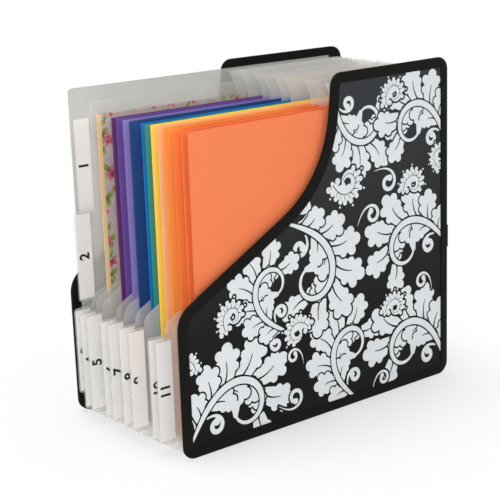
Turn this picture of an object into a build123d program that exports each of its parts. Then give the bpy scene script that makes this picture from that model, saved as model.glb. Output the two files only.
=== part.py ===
"""Expanding file for square craft papers: two bound covers, an accordion of tabbed sheets, papers.

Millimetres, +Z up. X runs from the open mouth (-X) to the pleated spine (+X), Y from the front
cover to the rear cover. The origin is the middle of the front cover's bottom face.
The sheets stand on planes that fan out from the spine, so a depth is given at the mouth and
shrinks evenly towards the spine.
"""

from build123d import *

import os
from math import atan2, hypot, radians, sqrt, tan

# ---- driving dimensions -------------------------------------------------------------------------

# covers
cover_spine_margin = 18.0
cover_rise = 9.0
cover_corner = 13.0
board_thickness = 2.4
tape_thickness = 0.5
tape_fold = 10.5
shoulder_height = 141.7
shoulder_radius = 26.0
slope_angle = 28.3
neck_width = 160.0
neck_lean = 11.5
hollow_radius = 118.0

# accordion: clear depth of each pocket at the mouth, from the rear cover to the front cover
pocket_depths = [9.5, 8.5, 9.0, 11.5, 25.0, 12.5, 19.0, 15.5, 32.5, 11.5, 21.5]
spine_share = 0.889
running_gap = 0.3

# sheets
sheet_thickness = 0.6
sheet_corner = 4.0
sheet_left = 10.0
sheet_rise = 24.9
sheet_bottom = 4.3
sheet_shoulder_height = 124.5
sheet_shoulder_radius = 14.0
sheet_neck_inset = 3.0
sheet_hollow_radius = 71.0
sheet_flare = 11.0
sheet_flare_height = 30.0
full_sheet_left = 27.0
full_sheet_rise = 11.9

# tabs and labels
tab_reach = 20.0
middle_tab_reach = 25.5
tab_corner = 3.5
tab_margin = 2.5
tab_edge_margin = 1.2
label_width = 17.0
label_height = 97.0
short_label_height = 84.0
label_thickness = 0.3
low_label_bottom = 15.5
short_label_bottom = 30.0
middle_label_bottom = 122.0
middle_label_height = 87.0
upper_label_drop = 31.0
upper_label_height = 94.0
upper_label_inset = 4.0

# gussets
gusset_floor = 2.5
gusset_thickness = 0.5
gusset_fold = 2.0
gusset_drop = 3.0
pleat_half_width = 18.0
overlap_margin = 6.0

# papers
paper_size = 304.8
paper_left = 26.0
paper_spine_gap = 7.2
# name: pocket, distance of the stack's middle in front of the sheet behind, stack thickness
paper_stacks = {
    "paper_floral": (3, 4.4, 1.2),
    "paper_dark_purple": (5, 11.0, 1.6),
    "paper_purple": (5, 19.0, 1.6),
    "paper_lavender": (6, 4.0, 1.2),
    "paper_navy": (7, 4.0, 2.0),
    "paper_blue": (8, 4.0, 1.6),
    "paper_green": (8, 10.0, 0.9),
    "paper_yellow": (9, 4.0, 2.0),
    "paper_light_orange": (9, 14.0, 2.4),
    "paper_orange": (9, 24.5, 2.4),
    "paper_red_orange_rear": (10, 5.0, 2.0),
    "paper_red_orange_front": (11, 6.5, 2.0),
    "paper_front_orange": (11, 16.0, 1.6),
}

# ---- derived sizes ------------------------------------------------------------------------------

# the papers set the sheets' reach, and the sheets set the covers'
paper_bottom = gusset_floor + gusset_thickness + running_gap
paper_top = paper_bottom + paper_size
sheet_right = paper_left + paper_size + paper_spine_gap
sheet_top = paper_top + sheet_rise
full_sheet_top = paper_top + full_sheet_rise
gusset_top = sheet_top - gusset_drop
cover_width = sheet_right + cover_spine_margin
cover_height = sheet_top + cover_rise
neck_left = cover_width - neck_width
sheet_neck = neck_left + sheet_neck_inset

mouth_x = -cover_width / 2
cover_half_depth = board_thickness / 2 + tape_thickness
end_sheet_offset = cover_half_depth + sheet_thickness / 2
front_end_depth = end_sheet_offset
rear_end_depth = front_end_depth + sum(pocket_depths)
divider_count = len(pocket_depths) - 1
sheet_depths = [rear_end_depth - sum(pocket_depths[:n]) for n in range(len(pocket_depths) + 1)]


def depth_at(depth, width):
    """Depth of a fanned plane at a distance from the mouth, from its depth at the mouth."""
    shrink = 1 - (1 - spine_share) * width / cover_width
    return front_end_depth + (depth - front_end_depth) * shrink


def along_y(depth, distance):
    """A distance square to a fanned plane, measured along Y instead."""
    drop = depth - depth_at(depth, cover_width)
    return distance * hypot(cover_width, drop) / cover_width


def fan_plane(depth, toward_front=0.0):
    """Plane of a sheet: local x along the width, local y up, normal towards the front."""
    drop = depth - depth_at(depth, cover_width)
    plane = Plane(
        origin=(mouth_x, depth, 0),
        x_dir=(cover_width, -drop, 0),
        z_dir=(-drop, -cover_width, 0),
    )
    return plane.offset(toward_front)


# ---- covers -------------------------------------------------------------------------------------


def hollow_limit(neck_rise, lean):
    """Largest radius that fits in the hollow between the slope and a neck of that rise and lean."""
    turn = atan2(neck_rise, lean) - radians(slope_angle)
    return (neck_rise - cover_corner - running_gap) / tan(turn / 2)


def cover_outline():
    """Magazine-file profile: full width below the shoulder, a narrow neck at the top."""
    hollow_x = neck_left - neck_lean
    hollow_y = shoulder_height + hollow_x * tan(radians(slope_angle))
    radius = min(hollow_radius, hollow_limit(cover_height - hollow_y, neck_lean))
    points = [
        (0, 0),
        (cover_width, 0),
        (cover_width, cover_height),
        (neck_left, cover_height),
        (hollow_x, hollow_y),
        (0, shoulder_height),
    ]
    with BuildSketch() as outline:
        with BuildLine():
            Polyline(*points, close=True)
        make_face()
        square_corners = outline.vertices().sort_by(Axis.Y)[:2] + outline.vertices().sort_by(Axis.Y)[-2:]
        fillet(square_corners, cover_corner)
        shoulder = outline.vertices().filter_by_position(Axis.X, -0.1, 0.1).sort_by(Axis.Y)[-1]
        fillet(shoulder, shoulder_radius)
        hollow = outline.vertices().sort_by_distance((hollow_x, hollow_y))[0]
        fillet(hollow, radius)
    return outline.sketch


def make_cover(side, plane):
    """Stiff board with a woven tape folded round its whole edge."""
    outline = cover_outline()
    back = -board_thickness / 2

    with BuildPart() as board:
        with BuildSketch(plane.offset(back)):
            add(outline)
            offset(amount=-tape_thickness, mode=Mode.REPLACE)
        extrude(amount=board_thickness)
    finish(board, f"{side}_cover_board")

    with BuildPart() as binding:
        with BuildSketch(plane.offset(-cover_half_depth)):
            add(outline)
        extrude(amount=2 * cover_half_depth)
        with BuildSketch(plane.offset(-cover_half_depth)):
            add(outline)
            offset(amount=-tape_fold, mode=Mode.REPLACE)
        extrude(amount=2 * cover_half_depth, mode=Mode.SUBTRACT)
        add(board.part, mode=Mode.SUBTRACT)
    finish(binding, f"{side}_cover_binding")


# ---- sheets -------------------------------------------------------------------------------------


def cutaway_sheet():
    """Divider outline: shoulder, long slope, and a neck that flares to the left at the top."""
    slope = tan(radians(slope_angle))
    hollow_y = sheet_shoulder_height + (sheet_neck - sheet_left) * slope
    flare_start = (sheet_neck, sheet_top - sheet_flare_height)
    flare_end = (sheet_neck - sheet_flare, sheet_top)
    radius = min(sheet_hollow_radius, hollow_limit(flare_start[1] - hollow_y, 0))
    with BuildSketch() as outline:
        with BuildLine():
            Polyline(
                flare_end,
                (sheet_right, sheet_top),
                (sheet_right, sheet_bottom),
                (sheet_left, sheet_bottom),
                (sheet_left, sheet_shoulder_height),
                (sheet_neck, hollow_y),
                flare_start,
            )
            TangentArc(flare_start, flare_end, tangent=(0, 1))
        make_face()
        shoulder = outline.vertices().sort_by_distance((sheet_left, sheet_shoulder_height))[0]
        fillet(shoulder, sheet_shoulder_radius)
        hollow = outline.vertices().sort_by_distance((sheet_neck, hollow_y))[0]
        fillet(hollow, radius)
        mouth_corner = outline.vertices().sort_by_distance((sheet_left, sheet_bottom))[0]
        fillet(mouth_corner, sheet_corner)
    return outline.sketch


def full_sheet(left, top):
    """Sheet with no cutaway."""
    points = [(left, sheet_bottom), (sheet_right, sheet_bottom), (sheet_right, top), (left, top)]
    with BuildSketch() as outline:
        with BuildLine():
            Polyline(*points, close=True)
        make_face()
        fillet(outline.vertices().group_by(Axis.X)[0], sheet_corner)
    return outline.sketch


def make_sheet(name, outline, depth, tab=None):
    """Frosted sheet on its fan plane, with a tab given as left, right, bottom and top."""
    with BuildPart() as sheet:
        with BuildSketch(fan_plane(depth, -sheet_thickness / 2)):
            add(outline)
            if tab:
                left, right, bottom, top = tab
                with Locations(((left + right) / 2, (bottom + top) / 2)):
                    RectangleRounded(right - left, top - bottom, tab_corner)
        extrude(amount=sheet_thickness)
    finish(sheet, name)


def make_label(number, depth, left, bottom, height):
    """White insert on the front face of a tab."""
    with BuildPart() as label:
        with BuildSketch(fan_plane(depth, sheet_thickness / 2)):
            with Locations((left + label_width / 2, bottom + height / 2)):
                Rectangle(label_width, height)
        extrude(amount=label_thickness)
    finish(label, f"label_{number:02d}")


def tab_round(label_left, label_bottom, label_rise, reach):
    """Tab that frames a label: left, right, bottom and top."""
    left = label_left - tab_edge_margin
    overlap = 2 * tab_corner
    return left, left + reach + overlap, label_bottom - tab_margin, label_bottom + label_rise + tab_margin


def make_sheets():
    """End sheets on the covers and the tabbed dividers between them."""
    upper_left = sheet_left + upper_label_inset
    upper_bottom = sheet_top - upper_label_drop - upper_label_height
    make_sheet("rear_end_sheet", full_sheet(sheet_left, sheet_top), rear_end_depth)
    make_label(1, rear_end_depth, upper_left, upper_bottom, upper_label_height)

    middle_left = full_sheet_left - middle_tab_reach + tab_edge_margin
    middle_tab = tab_round(middle_left, middle_label_bottom, middle_label_height, middle_tab_reach)
    make_sheet("divider_02", full_sheet(full_sheet_left, full_sheet_top), sheet_depths[1], middle_tab)
    make_label(2, sheet_depths[1], middle_left, middle_label_bottom, middle_label_height)

    low_left = sheet_left - tab_reach + tab_edge_margin
    for number in range(3, divider_count + 2):
        short = number == 3
        bottom = short_label_bottom if short else low_label_bottom
        height = short_label_height if short else label_height
        depth = sheet_depths[number - 1]
        low_tab = tab_round(low_left, bottom, height, tab_reach)
        make_sheet(f"divider_{number:02d}", cutaway_sheet(), depth, low_tab)
        make_label(number, depth, low_left, bottom, height)

    make_sheet("front_end_sheet", cutaway_sheet(), front_end_depth)


# ---- gussets ------------------------------------------------------------------------------------


def pocket_plan(rear_depth, front_depth, spread=0.0):
    """Plan of a pocket: straight sides on the two sheets and a pleat folded out at the spine."""
    rear_face = along_y(rear_depth, sheet_thickness / 2)
    front_face = along_y(front_depth, sheet_thickness / 2 + running_gap)
    start = sheet_left - spread
    root = sheet_right
    rear_root = depth_at(rear_depth, root) - rear_face
    front_root = depth_at(front_depth, root) + front_face
    half = (rear_root - front_root) / 2
    reach = sqrt(pleat_half_width**2 - half**2)
    lead = spread * reach / half
    points = [
        (start, depth_at(rear_depth, start) - rear_face + spread),
        (root - lead, depth_at(rear_depth, root - lead) - rear_face + spread),
        (root + reach, (rear_root + front_root) / 2),
        (root - lead, depth_at(front_depth, root - lead) + front_face - spread),
        (start, depth_at(front_depth, start) + front_face - spread),
    ]
    return [(mouth_x + x, y) for x, y in points]


def make_gusset(number, rear_depth, front_depth):
    """One folded strip that closes a pocket along the bottom and up the spine."""
    fold_growth = gusset_thickness * (sqrt(2) - 1)

    with BuildPart() as hollow:
        with BuildSketch(Plane.XY.offset(gusset_floor + gusset_thickness)):
            with BuildLine():
                Polyline(*pocket_plan(rear_depth, front_depth, overlap_margin), close=True)
            make_face()
            offset(amount=-gusset_thickness, kind=Kind.INTERSECTION, mode=Mode.REPLACE)
        extrude(amount=gusset_top)
        side_margin = overlap_margin - gusset_thickness
        long_edges = hollow.edges().group_by(Axis.Z)[0].sort_by(SortBy.LENGTH)[-2:]
        chamfer(long_edges, gusset_fold + side_margin + fold_growth)

    with BuildPart() as gusset:
        with BuildSketch(Plane.XY.offset(gusset_floor)):
            with BuildLine():
                Polyline(*pocket_plan(rear_depth, front_depth), close=True)
            make_face()
        extrude(amount=gusset_top - gusset_floor)
        long_edges = gusset.edges().group_by(Axis.Z)[0].sort_by(SortBy.LENGTH)[-2:]
        chamfer(long_edges, gusset_fold)
        add(hollow.part, mode=Mode.SUBTRACT)
    finish(gusset, f"gusset_{number:02d}")


# ---- papers -------------------------------------------------------------------------------------


def make_paper(name, depth, thickness):
    """Stack of square sheets standing on the pocket's floor."""
    with BuildPart() as stack:
        with BuildSketch(fan_plane(depth, -thickness / 2)):
            with Locations((paper_left + paper_size / 2, paper_bottom + paper_size / 2)):
                Rectangle(paper_size, paper_size)
        extrude(amount=thickness)
    finish(stack, name)


def finish(piece, name):
    """Label a finished piece and write its file."""
    piece.part.label = name
    export_step(piece.part, f"parts/{name}.step")


def main():
    os.makedirs("parts", exist_ok=True)
    make_cover("rear", fan_plane(rear_end_depth, -end_sheet_offset))
    make_cover("front", fan_plane(front_end_depth, end_sheet_offset))
    make_sheets()
    for number, (rear_depth, front_depth) in enumerate(zip(sheet_depths, sheet_depths[1:]), start=1):
        make_gusset(number, rear_depth, front_depth)
    for name, (pocket, setback, thickness) in paper_stacks.items():
        make_paper(name, sheet_depths[pocket - 1] - setback, thickness)


main()
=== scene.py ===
"""Dresses the expanding file: printed covers, cloth binding, frosted sheets, pleats and papers."""

import math
import random

import bmesh
import bpy
import numpy as np
from mathutils import Matrix, Vector


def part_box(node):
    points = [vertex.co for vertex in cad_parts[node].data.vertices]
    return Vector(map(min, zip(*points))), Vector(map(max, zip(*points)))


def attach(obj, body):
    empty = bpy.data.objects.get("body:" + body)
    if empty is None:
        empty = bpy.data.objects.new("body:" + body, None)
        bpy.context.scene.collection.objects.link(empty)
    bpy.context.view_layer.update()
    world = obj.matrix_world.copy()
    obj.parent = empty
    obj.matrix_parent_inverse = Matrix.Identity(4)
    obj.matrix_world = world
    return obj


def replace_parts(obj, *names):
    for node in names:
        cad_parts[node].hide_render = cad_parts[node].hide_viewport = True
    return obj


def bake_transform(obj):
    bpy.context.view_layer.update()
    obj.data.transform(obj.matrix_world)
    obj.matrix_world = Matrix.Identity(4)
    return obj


bl_info = {
    "name": "Expanding file",
    "version": (1, 0, 0),
    "blender": (4, 5, 0),
    "location": "3D View > Sidebar > File",
    "description": "Dresses a packed expanding file for square craft papers",
    "category": "Object",
}

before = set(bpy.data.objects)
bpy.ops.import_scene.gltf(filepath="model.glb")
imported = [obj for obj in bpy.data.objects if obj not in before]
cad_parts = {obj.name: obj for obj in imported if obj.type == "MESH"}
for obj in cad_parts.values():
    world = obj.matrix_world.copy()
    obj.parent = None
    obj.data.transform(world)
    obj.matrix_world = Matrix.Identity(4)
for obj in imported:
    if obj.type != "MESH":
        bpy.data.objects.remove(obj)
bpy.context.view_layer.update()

MM = 0.001
POCKETS = 11
DIVIDERS = [f"divider_{number:02d}" for number in range(2, POCKETS + 1)]
SHEETS = ["rear_end_sheet", *DIVIDERS, "front_end_sheet"]
BODIES = ["rear_cover", *DIVIDERS, "front_cover"]
OUTWARDS = {"rear": 1, "front": -1}  # which way along Y each cover faces
WELD = 0.01 * MM  # points nearer than this are one
FLAT = math.radians(1)  # faces that turn by less than this are one

PAPER_COLORS = {
    "paper_dark_purple": "#63306c",
    "paper_purple": "#6c4a9b",
    "paper_lavender": "#9585cb",
    "paper_navy": "#1d4480",
    "paper_blue": "#007cc6",
    "paper_green": "#3f9488",
    "paper_yellow": "#fdd95c",
    "paper_light_orange": "#ffc184",
    "paper_orange": "#fd9f4c",
    "paper_red_orange_rear": "#f9893d",
    "paper_red_orange_front": "#f67b41",
    "paper_front_orange": "#ea7b4a",
}
PAINTED_TOP_LIGHT_TINT = "#f4ece6"  # paler colour that the papers' tops are painted towards: painted light from above
FLORAL_GROUND = ("#a99aa0", "#dccfc4")
FLORAL_STRIP = "#f2cf9d"
FLORAL_STRIP_WIDTH = 5 * MM
# sprays of leaves and flowers: spacing, reach, lobes, colour at the heart, colour at the rim, offset
FLORAL_LAYERS = (
    (24 * MM, 9.5 * MM, 3, "#5a6430", "#a3ab66", 0.3),
    (34 * MM, 8.0 * MM, 5, "#8c1f3a", "#dd7f92", 0.8),
    (24 * MM, 4.2 * MM, 5, "#b02f4a", "#e59aa0", 1.7),
    (33 * MM, 6.0 * MM, 2, "#6d7434", "#b4b877", 2.6),
)

PLEAT_GAP = 0.45 * MM  # from a sheet's middle plane to the pleat's edge on its face
PLEAT_FOOT = 0.3 * MM  # height of the pleat's floor edges over the gusset's lowest point
PLEAT_TIP = 0.4 * MM  # how far the pleat's fold stops short of the gusset's outer end
# how a pleat closes towards its fold at the spine: share of the way out, share of the width left
PLEAT_FOLD = ((0.3, 0.74), (0.6, 0.46), (0.85, 0.22), (0.96, 0.09))

SHEET_TILT = 0.0012  # most that a paper leans in its stack, in radians
SHEET_SHARE = 0.8  # part of a paper's space that the paper fills

FONT_SHARE = 1.35  # size of the typeface over the height of its figures
FIGURE_SWELL = 0.45 * MM  # how much bolder the figures are than the typeface
FIGURE_DEPTH = 0.03 * MM
LABEL_FACE = 0.2 * MM  # from a label's middle plane to its front face

SENSOR = 36  # width of the camera's sensor in millimetres
MIDDLE = (0, 0.08, 0.16)  # middle of the file, which the lamps light
FLOOR_RADIUS = 9
FLOOR_DROP = 0.2 * MM  # how far the floor lies below the file's feet
SHADOW_CENTRE = (0.0, 0.09, 0.0)
# the floor keeps half of its own shade out to the first distance, and is all white from the second
SHADOW_KEPT, SHADOW_NEAR, SHADOW_FAR = 0.5, 0.12, 0.34
SOFTBOXES = (  # name, place, size in metres, power in watts
    ("left softbox", (-1.5, -1.5, 0.7), 1.2, 22),
    ("right softbox", (0.8, -1.9, 1.0), 0.45, 6.5),
    ("top softbox", (-0.3, 0.5, 2.1), 1.6, 30),
)


# ---- settings -----------------------------------------------------------------------------------


class CoverSettings(bpy.types.PropertyGroup):
    """Colours and sizes of the two covers."""

    ground: bpy.props.StringProperty(
        name="Ground", description="Printed ground at the foot, sRGB hex", default="#0b0b0b"
    )
    # colour at the top of the boards: the near-black ground lightened by a painted reflection of a softbox above
    ground_top: bpy.props.StringProperty(
        name="Ground at the top", description="Printed ground at the top, sRGB hex", default="#303336"
    )
    tape: bpy.props.StringProperty(name="Tape", description="Binding cloth, sRGB hex", default="#050505")
    # painted highlight: the colour that the crests of the tape's threads and its tufts of fuzz are painted towards
    tape_fuzz: bpy.props.StringProperty(
        name="Tape fuzz", description="Crests of the cloth's threads, sRGB hex", default="#201f1d"
    )
    ink: bpy.props.StringProperty(name="Ink", description="Printed ornament, sRGB hex", default="#dcdfe1")
    ink_thin: bpy.props.StringProperty(
        name="Thin ink", description="Ink where it lies thin, sRGB hex", default="#cfd4d8"
    )
    ink_depth: bpy.props.FloatProperty(
        name="Ink depth", description="Thickness of the printed layer", default=0.1 * MM, unit="LENGTH"
    )
    grid: bpy.props.FloatProperty(
        name="Grid", description="Fineness of the ornament's edge", default=0.5 * MM, unit="LENGTH"
    )
    gap: bpy.props.FloatProperty(
        name="Gap", description="Bare ground round each motif", default=2.0 * MM, unit="LENGTH"
    )
    under_tape: bpy.props.FloatProperty(
        name="Under tape", description="How far from the board's edge the print stops, under the tape",
        default=8.5 * MM, unit="LENGTH",
    )
    fold: bpy.props.FloatProperty(
        name="Fold", description="Roundness of the tape's fold", default=1.1 * MM, unit="LENGTH"
    )
    tape_width: bpy.props.FloatProperty(
        name="Tape width", description="Width of the tape on a cover's face", default=10.5 * MM, unit="LENGTH"
    )
    lap: bpy.props.FloatProperty(
        name="Lap", description="Thickness that the tape's end adds", default=0.4 * MM, unit="LENGTH"
    )
    lap_length: bpy.props.FloatProperty(
        name="Lap length", description="How far the tape's end laps over its start", default=24 * MM, unit="LENGTH"
    )
    lap_height: bpy.props.FloatProperty(
        name="Lap height", description="Height of the lap's middle up the spine", default=152 * MM, unit="LENGTH"
    )
    tape_step: bpy.props.FloatProperty(
        name="Tape step", description="Depth that tells the tape's outer side from its inner edge",
        default=2.0 * MM, unit="LENGTH",
    )
    thread: bpy.props.FloatProperty(
        name="Thread", description="Spacing of the cloth's threads", default=1.8 * MM, unit="LENGTH"
    )


class SheetSettings(bpy.types.PropertyGroup):
    """Frosted sheets and their pleats."""

    tint: bpy.props.StringProperty(name="Tint", description="Frosted plastic, sRGB hex", default="#f5f4ef")
    shade: bpy.props.StringProperty(
        name="Shade", description="Frosted plastic where it is cloudy, sRGB hex", default="#ebeae5"
    )
    heavy_tint: bpy.props.StringProperty(
        name="End sheet tint", description="Frosted end sheets, sRGB hex", default="#d8d8d3"
    )
    heavy_shade: bpy.props.StringProperty(
        name="End sheet shade", description="Frosted end sheets where they are cloudy, sRGB hex",
        default="#cccdc7",
    )
    heavy_cover: bpy.props.FloatProperty(
        name="End sheet cover", description="How much one face of an end sheet hides", default=0.8, subtype="FACTOR"
    )
    cover: bpy.props.FloatProperty(
        name="Cover", description="How much one face of a divider hides", default=0.3, subtype="FACTOR"
    )
    pleat_cover: bpy.props.FloatProperty(
        name="Pleat cover", description="How much one face of a pleat hides", default=0.24, subtype="FACTOR"
    )
    film: bpy.props.FloatProperty(
        name="Film", description="Thickness of the pleated film", default=0.4 * MM, unit="LENGTH"
    )
    sag: bpy.props.FloatProperty(
        name="Sag", description="Height of the pleats' curved floor", default=2.2 * MM, unit="LENGTH"
    )


class PaperSettings(bpy.types.PropertyGroup):
    """Loose papers and label cards."""

    sheet: bpy.props.FloatProperty(
        name="Sheet", description="Thickness of one visible sheet", default=0.4 * MM, unit="LENGTH"
    )
    stray: bpy.props.FloatProperty(
        name="Stray", description="How far a sheet strays in its stack", default=0.7 * MM, unit="LENGTH"
    )
    # painted light: how far the papers' tops are painted paler, as light from above would show them
    fading: bpy.props.FloatProperty(
        name="Fading", description="How far light has faded the papers' tops", default=0.012, subtype="FACTOR"
    )
    card: bpy.props.StringProperty(name="Card", description="Label card, sRGB hex", default="#f3f1ef")
    ink: bpy.props.StringProperty(name="Ink", description="Label numbers, sRGB hex", default="#1d1c1b")
    figure: bpy.props.FloatProperty(
        name="Figure", description="Height of the label numbers", default=11.0 * MM, unit="LENGTH"
    )


class StageSettings(bpy.types.PropertyGroup):
    """Camera, lights and floor."""

    focal: bpy.props.FloatProperty(
        name="Lens", description="Camera's focal length in millimetres", default=102.24, unit="CAMERA"
    )
    azimuth: bpy.props.FloatProperty(
        name="Azimuth", description="Camera's direction round the file",
        default=math.radians(-38.86), subtype="ANGLE",
    )
    elevation: bpy.props.FloatProperty(
        name="Elevation", description="Camera's height angle", default=math.radians(14.85), subtype="ANGLE"
    )
    roll: bpy.props.FloatProperty(
        name="Roll", description="Camera's roll", default=math.radians(-2.03), subtype="ANGLE"
    )
    distance: bpy.props.FloatProperty(
        name="Distance", description="Camera to the middle of the file", default=1.436, unit="LENGTH"
    )
    target: bpy.props.FloatVectorProperty(
        name="Target", description="Point the camera looks at", default=(-0.028, 0.0768, 0.1618), subtype="XYZ"
    )
    floor: bpy.props.StringProperty(name="Floor", description="Colour of the floor, sRGB hex", default="#e9e9e8")
    level: bpy.props.FloatProperty(
        name="Level", description="Strength of the even light from all round", default=0.45, min=0
    )


# ---- shared helpers -----------------------------------------------------------------------------


def linear(code):
    """sRGB hex to linear RGBA."""
    parts = [int(code[i : i + 2], 16) / 255 for i in (1, 3, 5)]
    return [c / 12.92 if c <= 0.04045 else ((c + 0.055) / 1.055) ** 2.4 for c in parts] + [1.0]


def add_node(tree, kind, settings=None, links=None):
    """Adds a node, sets its properties or sockets, and links sources to its inputs.

    A whole number is a socket's place: in a colour Mix, 0 is the factor, and 6 and 7 are its two colours.
    """
    made = tree.nodes.new(kind)
    for name, value in (settings or {}).items():
        if isinstance(name, int) or name in made.inputs:
            made.inputs[name].default_value = value
        else:
            setattr(made, name, value)
    for name, source in (links or {}).items():
        tree.links.new(source, made.inputs[name])
    return made


def start_material(name, **sockets):
    """New material with its shader's own sockets set; returned with its tree, shader and Object coordinates."""
    material = bpy.data.materials.new(name)
    material.use_nodes = True
    tree = material.node_tree
    tree.nodes.clear()
    shader = add_node(tree, "ShaderNodeBsdfPrincipled", {k.replace("_", " "): v for k, v in sockets.items()})
    add_node(tree, "ShaderNodeOutputMaterial", links={"Surface": shader.outputs["BSDF"]})
    return material, tree, shader, add_node(tree, "ShaderNodeTexCoord").outputs["Object"]


def dress(name, material):
    """Gives a CAD node a material."""
    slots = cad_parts[name].data.materials
    slots.clear()
    slots.append(material)


def add_piece(name, mesh, material):
    """Puts a mesh in the scene as an object at the origin, in one material."""
    mesh.materials.clear()
    mesh.materials.append(material)
    piece = bpy.data.objects.new(name, mesh)
    bpy.context.scene.collection.objects.link(piece)
    return piece


def finish_mesh(bm, name, material, smooth=None):
    """Turns a bmesh into a piece; smooth is the least angle, in degrees, of an edge that stays sharp."""
    mesh = bpy.data.meshes.new(name)
    bm.to_mesh(mesh)
    bm.free()
    if smooth is not None:
        mesh.shade_smooth()
        mesh.set_sharp_from_angle(angle=math.radians(smooth))
    return add_piece(name, mesh, material)


def flat_mesh(name, curve):
    """Mesh of a flat curve or of a text."""
    holder = bpy.data.objects.new(f"{name}_curve", curve)
    bpy.context.scene.collection.objects.link(holder)
    bpy.context.view_layer.update()
    mesh = bpy.data.meshes.new_from_object(holder)
    bpy.data.objects.remove(holder)
    mesh.name = name
    return mesh


def merged_copy(node):
    """Copy of a CAD node's mesh, with its doubles merged and its flat faces joined."""
    bm = bmesh.new()
    bm.from_mesh(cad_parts[node].data)
    bmesh.ops.remove_doubles(bm, verts=bm.verts, dist=WELD)
    bmesh.ops.dissolve_limit(bm, angle_limit=FLAT, verts=bm.verts, edges=bm.edges)
    return bm


def plane_line(node):
    """A sheet's middle plane seen from above: its Y at X = 0 and its slope; and its thickness along Y."""
    points = np.array([v.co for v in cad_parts[node].data.vertices])
    slope, middle = np.polyfit(points[:, 0], points[:, 1], 1)
    return middle, slope, np.ptp(points[:, 1] - middle - slope * points[:, 0])


def lean(slope):
    """Turn from square on to the slanted plane of a sheet."""
    return Matrix.Rotation(math.atan(slope), 4, "Z")


def upright(slope):
    """Turn that stands a mesh lying in X and Y up on the slanted plane of a sheet."""
    return lean(slope) @ Matrix.Rotation(math.pi / 2, 4, "X")


def whole_mm(length):
    """A length in millimetres, without the last digits that a property adds."""
    return round(length / MM, 3)


# ---- materials ----------------------------------------------------------------------------------


def laminated_board():
    """Greyboard under matte-laminated print: near black, with a painted reflection of a softbox above that greys it
    towards its top, and a soft sheen.
    """
    look = bpy.context.scene.file_covers
    material, tree, shader, position = start_material("matte-laminated board", Roughness=0.36, IOR=1.2)
    height = add_node(tree, "ShaderNodeSeparateXYZ", links={"Vector": position}).outputs["Z"]
    # painted reflection: the ground greys towards the top of the board, as a softbox above would show in the
    # laminate
    painted_reflection_rise = add_node(
        tree, "ShaderNodeMapRange",
        {"From Min": 60 * MM, "From Max": 340 * MM, "interpolation_type": "SMOOTHSTEP"}, {"Value": height},
    )
    ground = add_node(
        tree, "ShaderNodeMix", {"data_type": "RGBA", 6: linear(look.ground), 7: linear(look.ground_top)},
        {0: painted_reflection_rise.outputs["Result"]},
    )
    tree.links.new(ground.outputs[2], shader.inputs["Base Color"])
    # the laminate's fine orange peel, about 1.2 mm from crest to crest
    grain = add_node(
        tree, "ShaderNodeTexNoise", {"Scale": 1 / (1.2 * MM), "Detail": 3.0, "Roughness": 0.6},
        {"Vector": position},
    )
    bump = add_node(
        tree, "ShaderNodeBump", {"Strength": 0.06, "Distance": 0.1 * MM}, {"Height": grain.outputs["Fac"]}
    )
    tree.links.new(bump.outputs["Normal"], shader.inputs["Normal"])
    return material


def printed_ink():
    """Pale offset ink under the same laminate: a trace of blue, slightly cloudy where it lies thin."""
    look = bpy.context.scene.file_covers
    material, tree, shader, position = start_material("pale offset ink", Roughness=0.42, IOR=1.4)
    # the ink lies thicker and thinner in clouds of about 25 mm
    cloud = add_node(
        tree, "ShaderNodeTexNoise", {"Scale": 1 / (25 * MM), "Detail": 3.0, "Roughness": 0.6},
        {"Vector": position},
    )
    color = add_node(
        tree, "ShaderNodeMix", {"data_type": "RGBA", 6: linear(look.ink_thin), 7: linear(look.ink)},
        {0: cloud.outputs["Fac"]},
    )
    tree.links.new(color.outputs[2], shader.inputs["Base Color"])
    return material


def book_cloth():
    """Woven cotton book tape: near black, threads crossing, a little fuzz, with the threads' crests and the fuzz
    painted lighter as a painted highlight.
    """
    look = bpy.context.scene.file_covers
    material, tree, shader, position = start_material(
        "woven cotton tape", Roughness=0.65, IOR=1.12, Sheen_Weight=0.03
    )
    # threads are about 0.3 mm apart in life; drawn at six times that, so that they show
    turns = 2 * math.pi / look.thread
    parts = add_node(tree, "ShaderNodeSeparateXYZ", links={"Vector": position})
    waves = []
    for axis in ("X", "Z"):
        scaled = add_node(tree, "ShaderNodeMath", {"operation": "MULTIPLY", 1: turns}, {0: parts.outputs[axis]})
        waves.append(add_node(tree, "ShaderNodeMath", {"operation": "SINE"}, {0: scaled.outputs[0]}).outputs[0])
    weave = add_node(tree, "ShaderNodeMath", {"operation": "MULTIPLY"}, {0: waves[0], 1: waves[1]})
    # tufts of fuzz are under 1 mm in life; drawn at 2.4 mm, so that they show
    fuzz = add_node(
        tree, "ShaderNodeTexNoise", {"Scale": 1 / (2.4 * MM), "Detail": 4.0, "Roughness": 0.7},
        {"Vector": position},
    )
    relief = add_node(
        tree, "ShaderNodeMath", {"operation": "ADD"}, {0: weave.outputs[0], 1: fuzz.outputs["Fac"]}
    )
    # the crests of the threads and the tufts of fuzz are painted lighter: a painted highlight where they would
    # catch the light
    tone = add_node(
        tree, "ShaderNodeMapRange", {"From Min": -0.6, "From Max": 1.7}, {"Value": relief.outputs[0]}
    )
    color = add_node(
        tree, "ShaderNodeMix", {"data_type": "RGBA", 6: linear(look.tape), 7: linear(look.tape_fuzz)},
        {0: tone.outputs["Result"]},
    )
    tree.links.new(color.outputs[2], shader.inputs["Base Color"])
    bump = add_node(
        tree, "ShaderNodeBump", {"Strength": 0.35, "Distance": 0.12 * MM}, {"Height": relief.outputs[0]}
    )
    tree.links.new(bump.outputs["Normal"], shader.inputs["Normal"])
    return material


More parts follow.
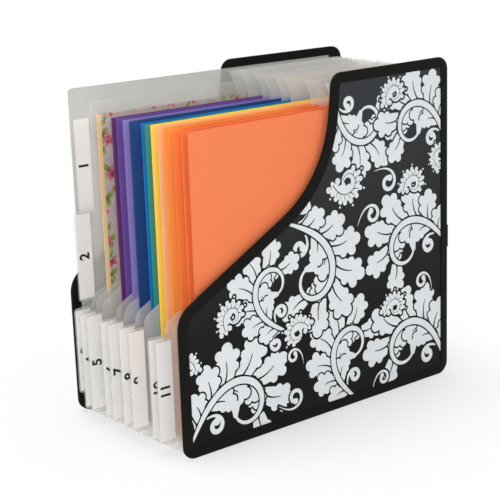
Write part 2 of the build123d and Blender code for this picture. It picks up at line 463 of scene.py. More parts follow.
def frosted_film(name, tint, shade, cover):
    """Embossed polypropylene: a fine frost that pales whatever lies behind it; cover is its opacity."""
    material, tree, shader, position = start_material(
        name, Roughness=0.38, IOR=1.16, Transmission_Weight=0.25, Alpha=cover
    )
    # the milkiness drifts over about 60 mm
    cloud = add_node(tree, "ShaderNodeTexNoise", {"Scale": 1 / (60 * MM), "Detail": 2.0}, {"Vector": position})
    color = add_node(
        tree, "ShaderNodeMix", {"data_type": "RGBA", 6: linear(shade), 7: linear(tint)},
        {0: cloud.outputs["Fac"]},
    )
    tree.links.new(color.outputs[2], shader.inputs["Base Color"])
    # the emboss is about 0.2 mm across in life; drawn at 0.8 mm, so that it shows
    frost = add_node(tree, "ShaderNodeTexNoise", {"Scale": 1 / (0.8 * MM), "Detail": 2.0}, {"Vector": position})
    bump = add_node(
        tree, "ShaderNodeBump", {"Strength": 0.08, "Distance": 0.1 * MM}, {"Height": frost.outputs["Fac"]}
    )
    tree.links.new(bump.outputs["Normal"], shader.inputs["Normal"])
    return material


def craft_paper(name, code, relief, top_light_paling=0.0):
    """Uncoated dyed paper: matte, with short fibres that take the dye unevenly, and a top painted faintly paler as
    painted light from above.
    """
    material, tree, shader, position = start_material(name, Roughness=0.8, IOR=1.35)
    # single fibres are too fine to show; drawn as their clumps of about 1.5 mm
    fibre = add_node(
        tree, "ShaderNodeTexNoise", {"Scale": 1 / (1.5 * MM), "Detail": 4.0, "Roughness": 0.65},
        {"Vector": position},
    )
    tone = add_node(tree, "ShaderNodeMapRange", {"From Min": 0.3, "From Max": 0.7}, {"Value": fibre.outputs["Fac"]})
    dark, pale = ([min(1.0, part * share) for part in linear(code)[:3]] + [1.0] for share in (0.95, 1.04))
    color = add_node(
        tree, "ShaderNodeMix", {"data_type": "RGBA", 6: dark, 7: pale}, {0: tone.outputs["Result"]}
    )
    # painted light from above: the paper grows faintly paler towards its top
    height = add_node(tree, "ShaderNodeSeparateXYZ", links={"Vector": position}).outputs["Z"]
    fading = add_node(
        tree, "ShaderNodeMapRange",
        {"From Min": 90 * MM, "From Max": 310 * MM, "To Max": top_light_paling, "interpolation_type": "SMOOTHSTEP"},
        {"Value": height},
    )
    color = add_node(
        tree, "ShaderNodeMix", {"data_type": "RGBA", 7: linear(PAINTED_TOP_LIGHT_TINT)},
        {0: fading.outputs["Result"], 6: color.outputs[2]},
    )
    tree.links.new(color.outputs[2], shader.inputs["Base Color"])
    bump = add_node(
        tree, "ShaderNodeBump", {"Strength": relief, "Distance": 0.08 * MM}, {"Height": fibre.outputs["Fac"]}
    )
    tree.links.new(bump.outputs["Normal"], shader.inputs["Normal"])
    return material


def flowered_paper(left):
    """Printed craft paper: flowers and leaves scattered on a clouded ground, with a peach strip at its left."""
    material, tree, shader, position = start_material("flowered craft paper", Roughness=0.75, IOR=1.35)
    parts = add_node(tree, "ShaderNodeSeparateXYZ", links={"Vector": position}).outputs
    flat = add_node(tree, "ShaderNodeCombineXYZ", links={"X": parts["X"], "Y": parts["Z"]}).outputs[0]
    cloud = add_node(tree, "ShaderNodeTexNoise", {"Scale": 1 / (14 * MM), "Detail": 3.0}, {"Vector": flat})
    dim, pale = FLORAL_GROUND
    color = add_node(
        tree, "ShaderNodeMix", {"data_type": "RGBA", 6: linear(dim), 7: linear(pale)},
        {0: cloud.outputs["Fac"]},
    ).outputs[2]
    for spacing, reach, lobes, heart, rim, offset in FLORAL_LAYERS:
        # each cell of the layer holds one flower or spray, turned by the cell's own random colour
        moved = add_node(tree, "ShaderNodeVectorMath", {"operation": "ADD", 1: (offset, offset / 3, 0)}, {0: flat})
        cell = add_node(
            tree, "ShaderNodeTexVoronoi", {"voronoi_dimensions": "2D", "Scale": 1 / spacing, "Randomness": 0.7},
            {"Vector": moved.outputs[0]},
        ).outputs
        arm = add_node(
            tree, "ShaderNodeVectorMath", {"operation": "SUBTRACT"}, {0: moved.outputs[0], 1: cell["Position"]}
        ).outputs[0]
        hue = add_node(tree, "ShaderNodeSeparateColor", links={"Color": cell["Color"]}).outputs
        spin = add_node(tree, "ShaderNodeMath", {"operation": "MULTIPLY", 1: 2 * math.pi}, {0: hue[0]}).outputs[0]
        axes = add_node(tree, "ShaderNodeSeparateXYZ", links={"Vector": arm}).outputs
        angle = add_node(tree, "ShaderNodeMath", {"operation": "ARCTAN2"}, {0: axes["Y"], 1: axes["X"]}).outputs[0]
        turned = add_node(
            tree, "ShaderNodeMath", {"operation": "MULTIPLY_ADD", 1: float(lobes)}, {0: angle, 2: spin}
        ).outputs[0]
        wave = add_node(tree, "ShaderNodeMath", {"operation": "COSINE"}, {0: turned}).outputs[0]
        edge = add_node(
            tree, "ShaderNodeMapRange",
            {"From Min": -1.0, "From Max": 1.0, "To Min": reach * (0.12 * lobes - 0.05), "To Max": reach},
            {"Value": wave},
        ).outputs[0]
        away = add_node(tree, "ShaderNodeVectorMath", {"operation": "LENGTH"}, {0: arm}).outputs["Value"]
        within = add_node(tree, "ShaderNodeMath", {"operation": "SUBTRACT"}, {0: edge, 1: away}).outputs[0]
        mask, shade = (
            add_node(tree, "ShaderNodeMapRange", {"From Min": 0.0, "From Max": full}, {"Value": source}).outputs[0]
            for full, source in ((0.8 * MM, within), (reach * 0.8, away))
        )
        petal = add_node(
            tree, "ShaderNodeMix", {"data_type": "RGBA", 6: linear(heart), 7: linear(rim)}, {0: shade}
        ).outputs[2]
        color = add_node(tree, "ShaderNodeMix", {"data_type": "RGBA"}, {0: mask, 6: color, 7: petal}).outputs[2]
    side = left + FLORAL_STRIP_WIDTH
    strip = add_node(
        tree, "ShaderNodeMapRange", {"From Min": side - 0.5 * MM, "From Max": side + 0.5 * MM},
        {"Value": parts["X"]},
    ).outputs[0]
    color = add_node(
        tree, "ShaderNodeMix", {"data_type": "RGBA", 6: linear(FLORAL_STRIP)}, {0: strip, 7: color}
    ).outputs[2]
    tree.links.new(color, shader.inputs["Base Color"])
    return material


# ---- printed ornament ---------------------------------------------------------------------------


class InkField:
    """Distance to the edge of the printed ink on a grid, in millimetres; negative inside the ink."""

    far = 9.0

    def __init__(self, width, height, step):
        self.x = np.arange(0, width + step, step)
        self.y = np.arange(0, height + step, step)
        self.d = np.full((len(self.y), len(self.x)), self.far)

    @classmethod
    def like(cls, other):
        """Empty field on another's grid."""
        made = cls.__new__(cls)
        made.x, made.y, made.d = other.x, other.y, np.full_like(other.d, cls.far)
        return made

    def stroke(self, points, radii, cut=False):
        """Adds a line of changing thickness, or cuts it out of the ink."""
        points, radii = np.asarray(points, float), np.asarray(radii, float)
        reach = radii.max() + 2.5
        low, high = points.min(0) - reach, points.max(0) + reach
        i0, i1 = np.searchsorted(self.x, [low[0], high[0]])
        j0, j1 = np.searchsorted(self.y, [low[1], high[1]])
        if i0 >= i1 or j0 >= j1:
            return
        gx, gy = np.meshgrid(self.x[i0:i1], self.y[j0:j1])
        best = np.full(gx.shape, self.far)
        for a, b, ra, rb in zip(points, points[1:], radii, radii[1:]):
            run = b - a
            t = np.clip(((gx - a[0]) * run[0] + (gy - a[1]) * run[1]) / max(run @ run, 1e-9), 0, 1)
            near = np.hypot(gx - a[0] - t * run[0], gy - a[1] - t * run[1]) - (ra + (rb - ra) * t)
            np.minimum(best, near, out=best)
        view = self.d[j0:j1, i0:i1]
        if cut:
            np.maximum(view, -best, out=view)
        else:
            np.minimum(view, best, out=view)

    def lay(self, motif, gap):
        """Adds a motif over what is there, with a gap of bare ground round it."""
        np.maximum(self.d, gap - motif.d, out=self.d)
        np.minimum(self.d, motif.d, out=self.d)

    def outlines(self):
        """Closed outlines of the ink, each an array of points, by marching squares."""
        inside = self.d < 0
        case = inside[:-1, :-1] + 2 * inside[:-1, 1:] + 4 * inside[1:, 1:] + 8 * inside[1:, :-1]
        # which sides of a cell the outline enters and leaves by, for each case of inked corners
        steps = {
            1: "03", 2: "10", 3: "13", 4: "21", 5: "0321", 6: "20", 7: "23",
            8: "32", 9: "02", 10: "1032", 11: "12", 12: "31", 13: "01", 14: "30",
        }
        # a cell's four sides: whether it stands upright, and its row and column from the cell's own
        rows = {"0": (0, 0, 0), "1": (1, 0, 1), "2": (0, 1, 0), "3": (1, 0, 0)}
        after = {}
        for j, i in zip(*np.nonzero((case > 0) & (case < 15))):
            sides = steps[int(case[j, i])]
            for first, last in zip(sides[::2], sides[1::2]):
                ends = []
                for side in (first, last):
                    upright, dj, di = rows[side]
                    ends.append((upright, int(j) + dj, int(i) + di))
                after[ends[0]] = ends[1]
        loops = []
        while after:
            start = next(iter(after))
            loop, at = [], start
            while at in after:
                loop.append(self.crossing(*at))
                at = after.pop(at)
            loops.append(np.array(loop))
        return loops

    def crossing(self, upright, j, i):
        """Point where the ink's edge crosses one side of a grid cell."""
        j2, i2 = (j + 1, i) if upright else (j, i + 1)
        a, b = self.d[j, i], self.d[j2, i2]
        t = a / (a - b)
        return self.x[i] + t * (self.x[i2] - self.x[i]), self.y[j] + t * (self.y[j2] - self.y[j])


def toward(heading):
    """Unit vector of a heading."""
    return np.array([math.cos(heading), math.sin(heading)])


def run_line(start, heading, length, turn, count=24, power=1.0):
    """Points and headings of a line that turns as it runs; a power over 1 leaves the turn to its end."""
    s = np.linspace(0, 1, count + 1)
    headings = heading + turn * ((s[1:] + s[:-1]) / 2) ** power
    moves = np.column_stack([np.cos(headings), np.sin(headings)]) * length / count
    points = np.vstack([start, np.asarray(start) + np.cumsum(moves, axis=0)])
    return points, heading + turn * s**power


def draw_curl(ink, start, heading, size, side, thick=None):
    """Tendril: swings out, winds in on itself and ends in a bead."""
    thick = thick or size * 0.05
    points, _ = run_line(start, heading, size * 2.1, side * 7.0, 56, 2.0)
    s = np.linspace(0, 1, len(points))
    swell = 0.15 + 1.1 * np.sin(np.minimum(1, s * 1.3) * math.pi / 2) ** 1.3
    ink.stroke(points, thick * swell)
    ink.stroke([points[-4], points[-1]], [thick * 1.3, thick * 2.0])


def draw_leaflet(ink, root, heading, length, width, bend, vein):
    """Broad leaflet that widens from the rib to a scalloped end, with a vein of bare ground along it."""
    points, headings = run_line(root, heading, length * 0.82, bend, 14)
    s = np.linspace(0, 1, len(points))
    leaf = InkField.like(ink)
    leaf.stroke(points, width * (0.34 + 0.42 * np.sin(s * 2.2)))
    # points back from the tip, angle off the rib, and reach and size as shares of the leaflet's width
    lobes = (
        (6, 1.25, 0.74, 0.31), (6, -1.25, 0.74, 0.31), (3, 0.95, 0.86, 0.36), (3, -0.95, 0.86, 0.36),
        (1, 0, 0.6, 0.46),
    )
    for back, spread, reach, size in lobes:
        tip = points[-back] + toward(headings[-back] + spread) * width * reach
        leaf.stroke([points[-back], tip], [width * 0.5, width * size])
    line, _ = run_line(root, heading - bend * 0.4, length * 0.74, bend * 1.9, 12)
    leaf.stroke(line, np.linspace(vein, vein * 0.35, len(line)), cut=True)
    ink.lay(leaf, vein * 1.35)


def draw_plume(ink, start, heading, size, side=1):
    """Large acanthus plume: a rib that ends in a curl, with broad leaflets on both sides."""
    n, vein = 100, size * 0.0135
    points, headings = run_line(start, heading, size * 1.85, side * 6.1, n, 2.2)
    s = np.linspace(0, 1, len(points))
    for i, way in enumerate((-side, side)):
        k = int((0.05 + 0.06 * i) * n)
        draw_curl(ink, points[k], headings[k] + way * 0.45, size * 0.3, way, size * 0.021)
    # leaflets, first place and reach along the rib, side, slant, length, width, how soon they grow short
    rows = (
        (7, 0.13, 0.62, -side, 0.62, 0.43, 0.15, 1.12),
        (5, 0.22, 0.42, side, 0.52, 0.31, 0.125, 1.45),
    )
    for count, first, reach, way, slant, length, width, fall in rows:
        for i in reversed(range(count)):
            along = first + reach * i / (count - 1)
            swell = math.sin(math.pi * min(1, (along - 0.02) * fall)) ** 0.6
            k = int(along * n)
            draw_leaflet(
                ink, points[k], headings[k] + way * slant, size * length * swell,
                size * width * (0.5 + 0.5 * swell), way * 0.45, vein,
            )
    body = InkField.like(ink)
    body.stroke(points, size * (0.011 + 0.025 * np.sin(math.pi * s**0.8) ** 1.2))
    ink.lay(body, vein * 1.2)
    ink.stroke([points[-6], points[-1]], [size * 0.03, size * 0.055])


def draw_sprig(ink, start, heading, size, side=1):
    """Small paisley leaf: a curled rib in a scalloped edge, with a row of beads beyond it."""
    n = 70
    points, headings = run_line(start, heading, size * 1.75, side * 6.2, n, 1.7)
    s = np.linspace(0, 1, len(points))
    body = size * (0.012 + 0.15 * np.sin(math.pi * s**0.75) ** 0.9)
    leaf = InkField.like(ink)
    leaf.stroke(points, body)
    for i in range(10):
        k = int((0.12 + 0.62 * i / 9) * n)
        out = toward(headings[k] - side * 1.3)
        leaf.stroke([points[k], points[k] + (body[k] + size * 0.045) * out], [size * 0.05, size * 0.062])
        if i % 2 == 0:
            tip = points[k] + (body[k] + size * 0.17) * out
            leaf.stroke([tip, tip + 0.01], [size * 0.03] * 2)
    for i in range(9):
        k = int((0.14 + 0.60 * (i + 0.5) / 9) * n)
        line, _ = run_line(points[k], headings[k] - side * 0.8, body[k] * 1.15, side * -0.5, 8)
        leaf.stroke(line, np.linspace(size * 0.014, size * 0.005, 9), cut=True)
    for i in range(4):
        k = int((0.16 + 0.22 * i / 3) * n)
        out = toward(headings[k] + side * 1.2)
        leaf.stroke([points[k], points[k] + body[k] * 1.15 * out], [size * 0.05, size * 0.06])
    leaf.stroke(points[4:-3], np.linspace(size * 0.013, size * 0.008, n - 6), cut=True)
    leaf.stroke([points[-4], points[-1]], [size * 0.035, size * 0.06])
    for way in (1, -1):
        draw_curl(leaf, points[2], headings[2] + way * 0.5, size * 0.24, way, size * 0.022)
    ink.lay(leaf, size * 0.02)


# motif, start across and up the cover in mm, heading in degrees, size in mm, side that it curls to
ORNAMENT = (
    (draw_plume, 8, 14, 58, 98, -1),
    (draw_plume, 224, 2, 138, 86, -1),
    (draw_plume, 354, 10, 112, 98, 1),
    (draw_plume, 132, 206, -22, 98, -1),
    (draw_plume, 358, 142, 132, 92, 1),
    (draw_plume, 196, 330, -82, 82, 1),
    (draw_plume, 356, 244, 108, 86, 1),
    (draw_plume, 134, 96, 152, 78, -1),
    (draw_sprig, 18, 82, 96, 30, 1),
    (draw_sprig, 56, 112, 118, 34, -1),
    (draw_sprig, 160, 94, 130, 34, 1),
    (draw_sprig, 192, 236, -60, 42, 1),
    (draw_sprig, 290, 208, 80, 34, -1),
    (draw_sprig, 262, 84, 74, 32, -1),
    (draw_sprig, 268, 300, 100, 32, -1),
    (draw_sprig, 346, 226, 150, 28, -1),
    (draw_curl, 116, 24, -34, 32, 1),
    (draw_curl, 150, 60, 96, 24, 1),
    (draw_curl, 226, 186, 66, 32, -1),
    (draw_curl, 250, 238, 8, 34, -1),
    (draw_curl, 332, 98, 96, 28, 1),
    (draw_curl, 244, 8, 74, 26, -1),
)


def board_outline(node, width):
    """Outline of a board seen square on, in millimetres from its mouth edge, from the node's own edges."""
    bm = merged_copy(node)
    face = max((f for f in bm.faces if f.normal.y < -0.9), key=lambda f: f.calc_area())
    points = [((v.co.x / MM) + width / 2, v.co.z / MM) for v in face.verts]
    bm.free()
    return points


def trim_to_outline(ink, outline, inset):
    """Cuts the ink off at an outline, moved inwards by the inset."""
    gx, gy = np.meshgrid(ink.x, ink.y)
    near = np.full(gx.shape, 1e9)
    within = np.zeros(gx.shape, bool)
    for (ax, ay), (bx, by) in zip(outline, outline[1:] + outline[:1]):
        dx, dy = bx - ax, by - ay
        t = np.clip(((gx - ax) * dx + (gy - ay) * dy) / max(dx * dx + dy * dy, 1e-9), 0, 1)
        np.minimum(near, np.hypot(gx - ax - t * dx, gy - ay - t * dy), out=near)
        crosses = ((ay > gy) != (by > gy)) & (gx < dx * (gy - ay) / (dy if dy else 1e-9) + ax)
        within ^= crosses
    np.maximum(ink.d, np.where(within, -near, near) + inset, out=ink.d)


def thin_out(loop, tolerance):
    """Drops the points of a closed outline that lie nearly on the line between their neighbours."""
    keep = np.zeros(len(loop), bool)
    half = len(loop) // 2
    keep[[0, half]] = True
    spans = [(0, half), (half, len(loop))]
    closed = np.vstack([loop, loop[:1]])
    while spans:
        first, last = spans.pop()
        if last - first < 2:
            continue
        a, run = closed[first], closed[last] - closed[first]
        away = closed[first + 1 : last] - a
        length = math.hypot(*run)
        if length > 1e-6:
            off = np.abs(run[0] * away[:, 1] - run[1] * away[:, 0]) / length
        else:
            off = np.hypot(*away.T)
        worst = int(off.argmax())
        if off[worst] > tolerance:
            middle = first + 1 + worst
            keep[middle] = True
            spans += [(first, middle), (middle, last)]
    return loop[keep]


def loop_area(loop):
    """Area inside a closed outline."""
    x, y = loop[:, 0], loop[:, 1]
    return abs(x @ np.roll(y, -1) - y @ np.roll(x, -1)) / 2


def fill_outlines(name, loops, thickness):
    """Flat mesh, filled between closed outlines given in millimetres."""
    flat = bpy.data.curves.new(name, "CURVE")
    flat.dimensions = "2D"
    flat.fill_mode = "BOTH"
    flat.extrude = thickness / 2
    for loop in loops:
        spline = flat.splines.new("POLY")
        spline.points.add(len(loop) - 1)
        places = np.column_stack([loop * MM, np.zeros(len(loop)), np.ones(len(loop))])
        spline.points.foreach_set("co", places.ravel())
        spline.use_cyclic_u = True
    return flat_mesh(name, flat)


# ---- operators ----------------------------------------------------------------------------------


class FILE_OT_covers(bpy.types.Operator):
    """Gives the boards their printed ground."""

    bl_idname = "file.covers"
    bl_label = "Covers"

    def execute(self, context):
        board = laminated_board()
        for side in OUTWARDS:
            dress(f"{side}_cover_board", board)
        return {"FINISHED"}


class FILE_OT_print(bpy.types.Operator):
    """Prints the acanthus ornament on the covers' outer faces; its edge runs under the tape."""

    bl_idname = "file.print"
    bl_label = "Print"

    def execute(self, context):
        look = context.scene.file_covers
        low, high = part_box("front_cover_binding")
        width, height = (high.x - low.x) / MM, (high.z - low.z) / MM
        ink = InkField(width, height, whole_mm(look.grid))
        for draw, across, up, heading, size, side in ORNAMENT:
            motif = InkField.like(ink)
            draw(motif, (across, up), math.radians(heading), size, side)
            ink.lay(motif, whole_mm(look.gap))
        trim_to_outline(ink, board_outline("front_cover_board", width), whole_mm(look.under_tape))
        # specks under 0.2 square mm are left out, and each outline keeps to its line within 0.03 mm
        loops = [thin_out(loop, 0.03) for loop in ink.outlines() if loop_area(loop) > 0.2]
        paint = printed_ink()
        for side in ("front", "rear"):
            mesh = fill_outlines(f"{side}_print", loops, look.ink_depth)
            self.place(mesh, side, low.x, look)
            piece = add_piece(f"{side}_print", mesh, paint)
            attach(piece, f"{side}_cover")
        return {"FINISHED"}

    def place(self, mesh, side, mouth, look):
        """Stands the print on its board's outer face, from the board's edge at the mouth."""
        middle, slope, depth = plane_line(f"{side}_cover_board")
        y = middle + slope * mouth + OUTWARDS[side] * (depth + look.ink_depth) / 2
        mesh.transform(Matrix.Translation((mouth, y, 0)) @ upright(slope))


class FILE_OT_binding(bpy.types.Operator):
    """Replaces the square-edged tape by one with rounded folds."""

    bl_idname = "file.binding"
    bl_label = "Binding"

    def execute(self, context):
        look = context.scene.file_covers
        cloth = book_cloth()
        for side in OUTWARDS:
            node = f"{side}_cover_binding"
            bm = merged_copy(node)
            folds = [edge for edge in bm.edges if self.is_fold(edge, look.tape_step)]
            bmesh.ops.bevel(
                bm, geom=folds, offset=look.fold, segments=3, profile=0.5, affect="EDGES", material=-1,
                clamp_overlap=True,
            )
            piece = finish_mesh(bm, f"{side}_tape", cloth, smooth=40)
            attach(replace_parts(piece, node), f"{side}_cover")
            self.overlap(side, cloth, look)
        return {"FINISHED"}

    def is_fold(self, edge, step):
        """Whether the tape folds there: a sharp edge between its face and its deep outer side."""
        faces = edge.link_faces
        if len(faces) != 2 or edge.calc_face_angle() <= math.radians(60):
            return False
        sides = [np.ptp([v.co.y for v in face.verts]) for face in faces if abs(face.normal.y) < 0.5]
        return max(abs(face.normal.y) for face in faces) > 0.9 and max(sides) > step

    def overlap(self, side, cloth, look):
        """The tape's end, lapped over its start halfway up the spine."""
        node = f"{side}_cover_binding"
        middle, slope, depth = plane_line(node)
        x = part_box(node)[1].x - (look.tape_width - look.lap) / 2
        y = middle + slope * x + OUTWARDS[side] * look.lap / 2
        size = Matrix.Diagonal((look.tape_width + look.lap, depth + look.lap, look.lap_length, 1))
        bm = bmesh.new()
        place = Matrix.Translation((x, y, look.lap_height))
        bmesh.ops.create_cube(bm, size=1, matrix=place @ lean(slope) @ size)
        bmesh.ops.bevel(
            bm, geom=bm.edges, offset=look.lap, segments=2, profile=0.5, affect="EDGES", material=-1,
            clamp_overlap=True,
        )
        piece = finish_mesh(bm, f"{side}_tape_end", cloth, smooth=40)
        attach(piece, f"{side}_cover")


class FILE_OT_sheets(bpy.types.Operator):
    """Frosts the end sheets and the tabbed dividers."""

    bl_idname = "file.sheets"
    bl_label = "Sheets"

    def execute(self, context):
        look = context.scene.file_sheets
        heavy = frosted_film("thick frosted polypropylene", look.heavy_tint, look.heavy_shade, look.heavy_cover)
        film = frosted_film("frosted polypropylene sheet", look.tint, look.shade, look.cover)
        for node in SHEETS:
            dress(node, heavy if node in (SHEETS[0], SHEETS[-1]) else film)
        return {"FINISHED"}


class FILE_OT_pleats(bpy.types.Operator):
    """Folds each pocket's film: a curved floor and a rounded pleat at the spine."""

    bl_idname = "file.pleats"
    bl_label = "Pleats"

    def execute(self, context):
        look = context.scene.file_sheets
        film = frosted_film("frosted polypropylene film", look.tint, look.shade, look.pleat_cover)
        for number in range(1, POCKETS + 1):
            self.fold(number, film, look)
        return {"FINISHED"}

    def fold(self, number, film, look):
        """One pocket's floor and pleat, bending between the sheets that it joins."""
        node = f"gusset_{number:02d}"
        low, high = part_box(node)
        rear, front = plane_line(SHEETS[number - 1]), plane_line(SHEETS[number])
        root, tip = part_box(SHEETS[number])[1].x, high.x - PLEAT_TIP

        def edges_at(x):
            """Y of the pleat's edges on the front and the rear sheet."""
            return front[0] + front[1] * x + PLEAT_GAP, rear[0] + rear[1] * x - PLEAT_GAP

        def section(x, share, steps=8):
            """Row of points across the floor; share is how much of the width is left."""
            front_y, rear_y = edges_at(min(x, root))
            middle, half = (front_y + rear_y) / 2, (rear_y - front_y) / 2 * share
            # the floor hangs less where the pocket is narrow and where the pleat closes
            depth = look.sag * min(1.0, share + 0.05) * min(1.0, half / (5 * MM) + 0.3)
            row = []
            for i in range(steps + 1):
                u = 2 * i / steps - 1
                z = low.z + PLEAT_FOOT - (1 - abs(u) ** 2.4) * depth
                row.append(bm.verts.new((x, middle + u * half, z)))
            return row

        bm = bmesh.new()
        stations = [(x, 1.0) for x in (low.x, low.x / 2, 0.0, root / 2, root)]
        spine = len(stations) - 1
        stations += [(root + (tip - root) * along, share) for along, share in PLEAT_FOLD]
        rows = [section(x, share) for x, share in stations]
        runs = [[bm.edges.new(pair) for pair in zip(row, row[1:])] for row in rows]
        for first, second in zip(runs, runs[1:]):
            bmesh.ops.bridge_loops(bm, edges=first + second)
        walls = []
        for first, second in zip(rows[spine:], rows[spine + 1 :]):
            walls += [bm.edges.get((first[end], second[end])) for end in (0, -1)]
        top = bmesh.ops.extrude_edge_only(bm, edges=walls + runs[-1])["geom"]
        for vert in [v for v in top if isinstance(v, bmesh.types.BMVert)]:
            vert.co.z = high.z
        bmesh.ops.recalc_face_normals(bm, faces=bm.faces)
        bmesh.ops.solidify(bm, geom=bm.faces, thickness=look.film)
        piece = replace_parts(finish_mesh(bm, f"pleat_{number:02d}", film, smooth=50), node)
        # the bend runs square to the slanted sheets, so that both of its edges stay on them
        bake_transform(piece)


class FILE_OT_labels(bpy.types.Operator):
    """Puts card on the label tabs and prints plain numbers up them."""

    bl_idname = "file.labels"
    bl_label = "Labels"

    def execute(self, context):
        look = context.scene.file_papers
        card = craft_paper("smooth label card", look.card, relief=0.02)
        ink = craft_paper("black label ink", look.ink, relief=0.02)
        for number in range(1, POCKETS + 1):
            node = f"label_{number:02d}"
            dress(node, card)
            self.print_number(number, node, ink, look)
        return {"FINISHED"}

    def print_number(self, number, node, ink, look):
        """A plain number that reads upwards, on the card's front face."""
        name = f"number_{number:02d}"
        low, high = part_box(node)
        middle, slope, _ = plane_line(node)
        text = bpy.data.curves.new(name, "FONT")
        text.body = str(number)
        text.size = look.figure * FONT_SHARE
        text.align_x, text.align_y = "CENTER", "CENTER"
        text.offset = FIGURE_SWELL
        text.extrude = FIGURE_DEPTH
        mesh = flat_mesh(name, text)
        x = (low.x + high.x) / 2
        place = Matrix.Translation((x, middle + slope * x - LABEL_FACE, (low.z + high.z) / 2))
        mesh.transform(place @ upright(slope) @ Matrix.Rotation(math.pi / 2, 4, "Z"))
        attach(add_piece(name, mesh, ink), BODIES[number - 1])


class FILE_OT_papers(bpy.types.Operator):
    """Splits each stack into sheets that stray a little from one another."""

    bl_idname = "file.papers"
    bl_label = "Papers"

    def execute(self, context):
        look = context.scene.file_papers
        draws = random.Random(12)
        floral = "paper_floral"
        self.stack(floral, flowered_paper(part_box(floral)[0].x), look, draws)
        for node, code in PAPER_COLORS.items():
            dyed = craft_paper(node.replace("_", " "), code, relief=0.1, top_light_paling=look.fading)
            self.stack(node, dyed, look, draws)
        return {"FINISHED"}

    def stack(self, node, paper, look, draws):
        """One stack of square sheets on its slanted plane."""
        low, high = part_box(node)
        middle, slope, thickness = plane_line(node)
        count = max(2, round(thickness / look.sheet))
        pitch = thickness / count
        width, height = high.x - low.x - 2 * look.stray, high.z - low.z - 2 * look.stray
        size = Matrix.Diagonal((width, pitch * SHEET_SHARE, height, 1))
        x = (low.x + high.x) / 2
        bm = bmesh.new()
        for index in range(count):
            shift_x, shift_z = (draws.uniform(-1, 1) * look.stray for _ in range(2))
            tilt = Matrix.Rotation(draws.uniform(-1, 1) * SHEET_TILT, 4, "Y")
            y = middle + slope * x - thickness / 2 + pitch * (index + 0.5)
            place = Matrix.Translation((x + shift_x, y, (low.z + high.z) / 2 + shift_z))
            bmesh.ops.create_cube(bm, size=1, matrix=place @ lean(slope) @ tilt @ size)
        piece = finish_mesh(bm, node.replace("paper", "stack"), paper)
        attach(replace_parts(piece, node), node)


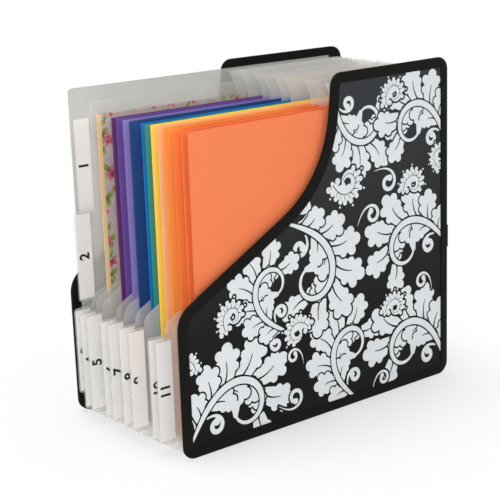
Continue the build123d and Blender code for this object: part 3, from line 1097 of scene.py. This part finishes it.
class FILE_OT_stage(bpy.types.Operator):
    """Camera at the photograph's angle, soft lights and a plain pale floor."""

    bl_idname = "file.stage"
    bl_label = "Stage"

    def execute(self, context):
        self.camera(context)
        self.floor(context)
        self.lights(context)
        context.scene.view_settings.view_transform = "Standard"
        return {"FINISHED"}

    def camera(self, context):
        """A long lens that looks at the file over its open corner."""
        look = context.scene.file_stage
        a, e, roll = look.azimuth, look.elevation, look.roll
        forward = Vector((-math.sin(a) * math.cos(e), math.cos(a) * math.cos(e), -math.sin(e)))
        right = forward.cross(Vector((0, 0, 1))).normalized()
        up = right.cross(forward)
        turned_right = right * math.cos(roll) + up * math.sin(roll)
        turned_up = up * math.cos(roll) - right * math.sin(roll)
        lens = bpy.data.cameras.new("camera")
        lens.lens = look.focal
        lens.sensor_width = SENSOR
        camera = bpy.data.objects.new("camera", lens)
        place = Vector(look.target) - forward * look.distance
        axes = Matrix((turned_right, turned_up, -forward)).transposed().to_4x4()
        camera.matrix_world = Matrix.Translation(place) @ axes
        context.scene.collection.objects.link(camera)
        context.scene.camera = camera

    def background_rays(self, tree):
        """Is 1 for the rays that show the background itself: camera, glossy and transmission rays."""
        path = add_node(tree, "ShaderNodeLightPath").outputs
        near = add_node(
            tree, "ShaderNodeMath", {"operation": "MAXIMUM"}, {0: path["Is Camera Ray"], 1: path["Is Glossy Ray"]}
        )
        return add_node(
            tree, "ShaderNodeMath", {"operation": "MAXIMUM"}, {0: near.outputs[0], 1: path["Is Transmission Ray"]}
        ).outputs[0]

    def floor(self, context):
        """A wide pale floor that shows white a step away from the file and keeps its soft shadow."""
        pale = linear(context.scene.file_stage.floor)
        material, tree, shader, position = start_material("pale floor", Roughness=0.9, IOR=1.3, Base_Color=pale)
        seen = self.background_rays(tree)
        away = add_node(tree, "ShaderNodeVectorMath", {"operation": "DISTANCE", 1: SHADOW_CENTRE}, {0: position})
        fade = add_node(
            tree, "ShaderNodeMapRange",
            {
                "From Min": SHADOW_NEAR, "From Max": SHADOW_FAR, "To Min": 1 - SHADOW_KEPT, "To Max": 1.0,
                "interpolation_type": "SMOOTHSTEP",
            },
            {"Value": away.outputs["Value"]},
        )
        share = add_node(tree, "ShaderNodeMath", {"operation": "MULTIPLY"}, {0: fade.outputs["Result"], 1: seen})
        white = add_node(tree, "ShaderNodeEmission", {"Strength": 1.0, "Color": (1, 1, 1, 1)})
        mixed = add_node(
            tree, "ShaderNodeMixShader", links={0: share.outputs[0], 1: shader.outputs["BSDF"], 2: white.outputs[0]}
        )
        output = next(n for n in tree.nodes if n.type == "OUTPUT_MATERIAL")
        tree.links.new(mixed.outputs[0], output.inputs["Surface"])
        bm = bmesh.new()
        level = Matrix.Translation((0, 0, -FLOOR_DROP))
        bmesh.ops.create_circle(bm, cap_ends=True, segments=96, radius=FLOOR_RADIUS, matrix=level)
        finish_mesh(bm, "floor", material)

    def lights(self, context):
        """Plain soft studio light: a low softbox at the left reaches between the papers."""
        scene = context.scene
        world = bpy.data.worlds.new("studio")
        scene.world = world
        world.use_nodes = True
        tree = world.node_tree
        tree.nodes.clear()
        seen = self.background_rays(tree)
        plain = add_node(tree, "ShaderNodeBackground", {"Color": (1, 1, 1, 1), "Strength": scene.file_stage.level})
        white = add_node(tree, "ShaderNodeBackground", {"Color": (1, 1, 1, 1), "Strength": 1.0})
        mixed = add_node(tree, "ShaderNodeMixShader", links={0: seen, 1: plain.outputs[0], 2: white.outputs[0]})
        add_node(tree, "ShaderNodeOutputWorld", links={"Surface": mixed.outputs[0]})
        for name, place, size, power in SOFTBOXES:
            lamp = bpy.data.lights.new(name, "AREA")
            lamp.shape, lamp.size, lamp.energy = "DISK", size, power
            box = bpy.data.objects.new(name, lamp)
            box.location = place
            box.rotation_euler = (Vector(MIDDLE) - Vector(place)).to_track_quat("-Z", "Y").to_euler()
            scene.collection.objects.link(box)


class FILE_PT_panel(bpy.types.Panel):
    """Lists the settings and the operators."""

    bl_idname = "FILE_PT_panel"
    bl_label = "Expanding file"
    bl_space_type = "VIEW_3D"
    bl_region_type = "UI"
    bl_category = "File"

    def draw(self, context):
        for name in SETTINGS:
            for key in getattr(context.scene, name).bl_rna.properties.keys():
                if key not in ("rna_type", "name"):
                    self.layout.prop(getattr(context.scene, name), key)
        for operator in OPERATORS:
            self.layout.operator(operator.bl_idname)


SETTINGS = {
    "file_covers": CoverSettings,
    "file_sheets": SheetSettings,
    "file_papers": PaperSettings,
    "file_stage": StageSettings,
}
OPERATORS = (
    FILE_OT_covers,
    FILE_OT_print,
    FILE_OT_binding,
    FILE_OT_sheets,
    FILE_OT_pleats,
    FILE_OT_labels,
    FILE_OT_papers,
    FILE_OT_stage,
)


def register():
    """Adds the settings, the operators and the panel to Blender."""
    for group in (*SETTINGS.values(), *OPERATORS, FILE_PT_panel):
        bpy.utils.register_class(group)
    for name, group in SETTINGS.items():
        setattr(bpy.types.Scene, name, bpy.props.PointerProperty(type=group))


def unregister():
    """Takes them out again."""
    for name in SETTINGS:
        delattr(bpy.types.Scene, name)
    for group in (FILE_PT_panel, *reversed(OPERATORS), *reversed(list(SETTINGS.values()))):
        bpy.utils.unregister_class(group)


def main():
    """Dresses the frame."""
    register()
    for operator in OPERATORS:
        group, name = operator.bl_idname.split(".")
        getattr(getattr(bpy.ops, group), name)()


if __name__ == "__main__":
    main()
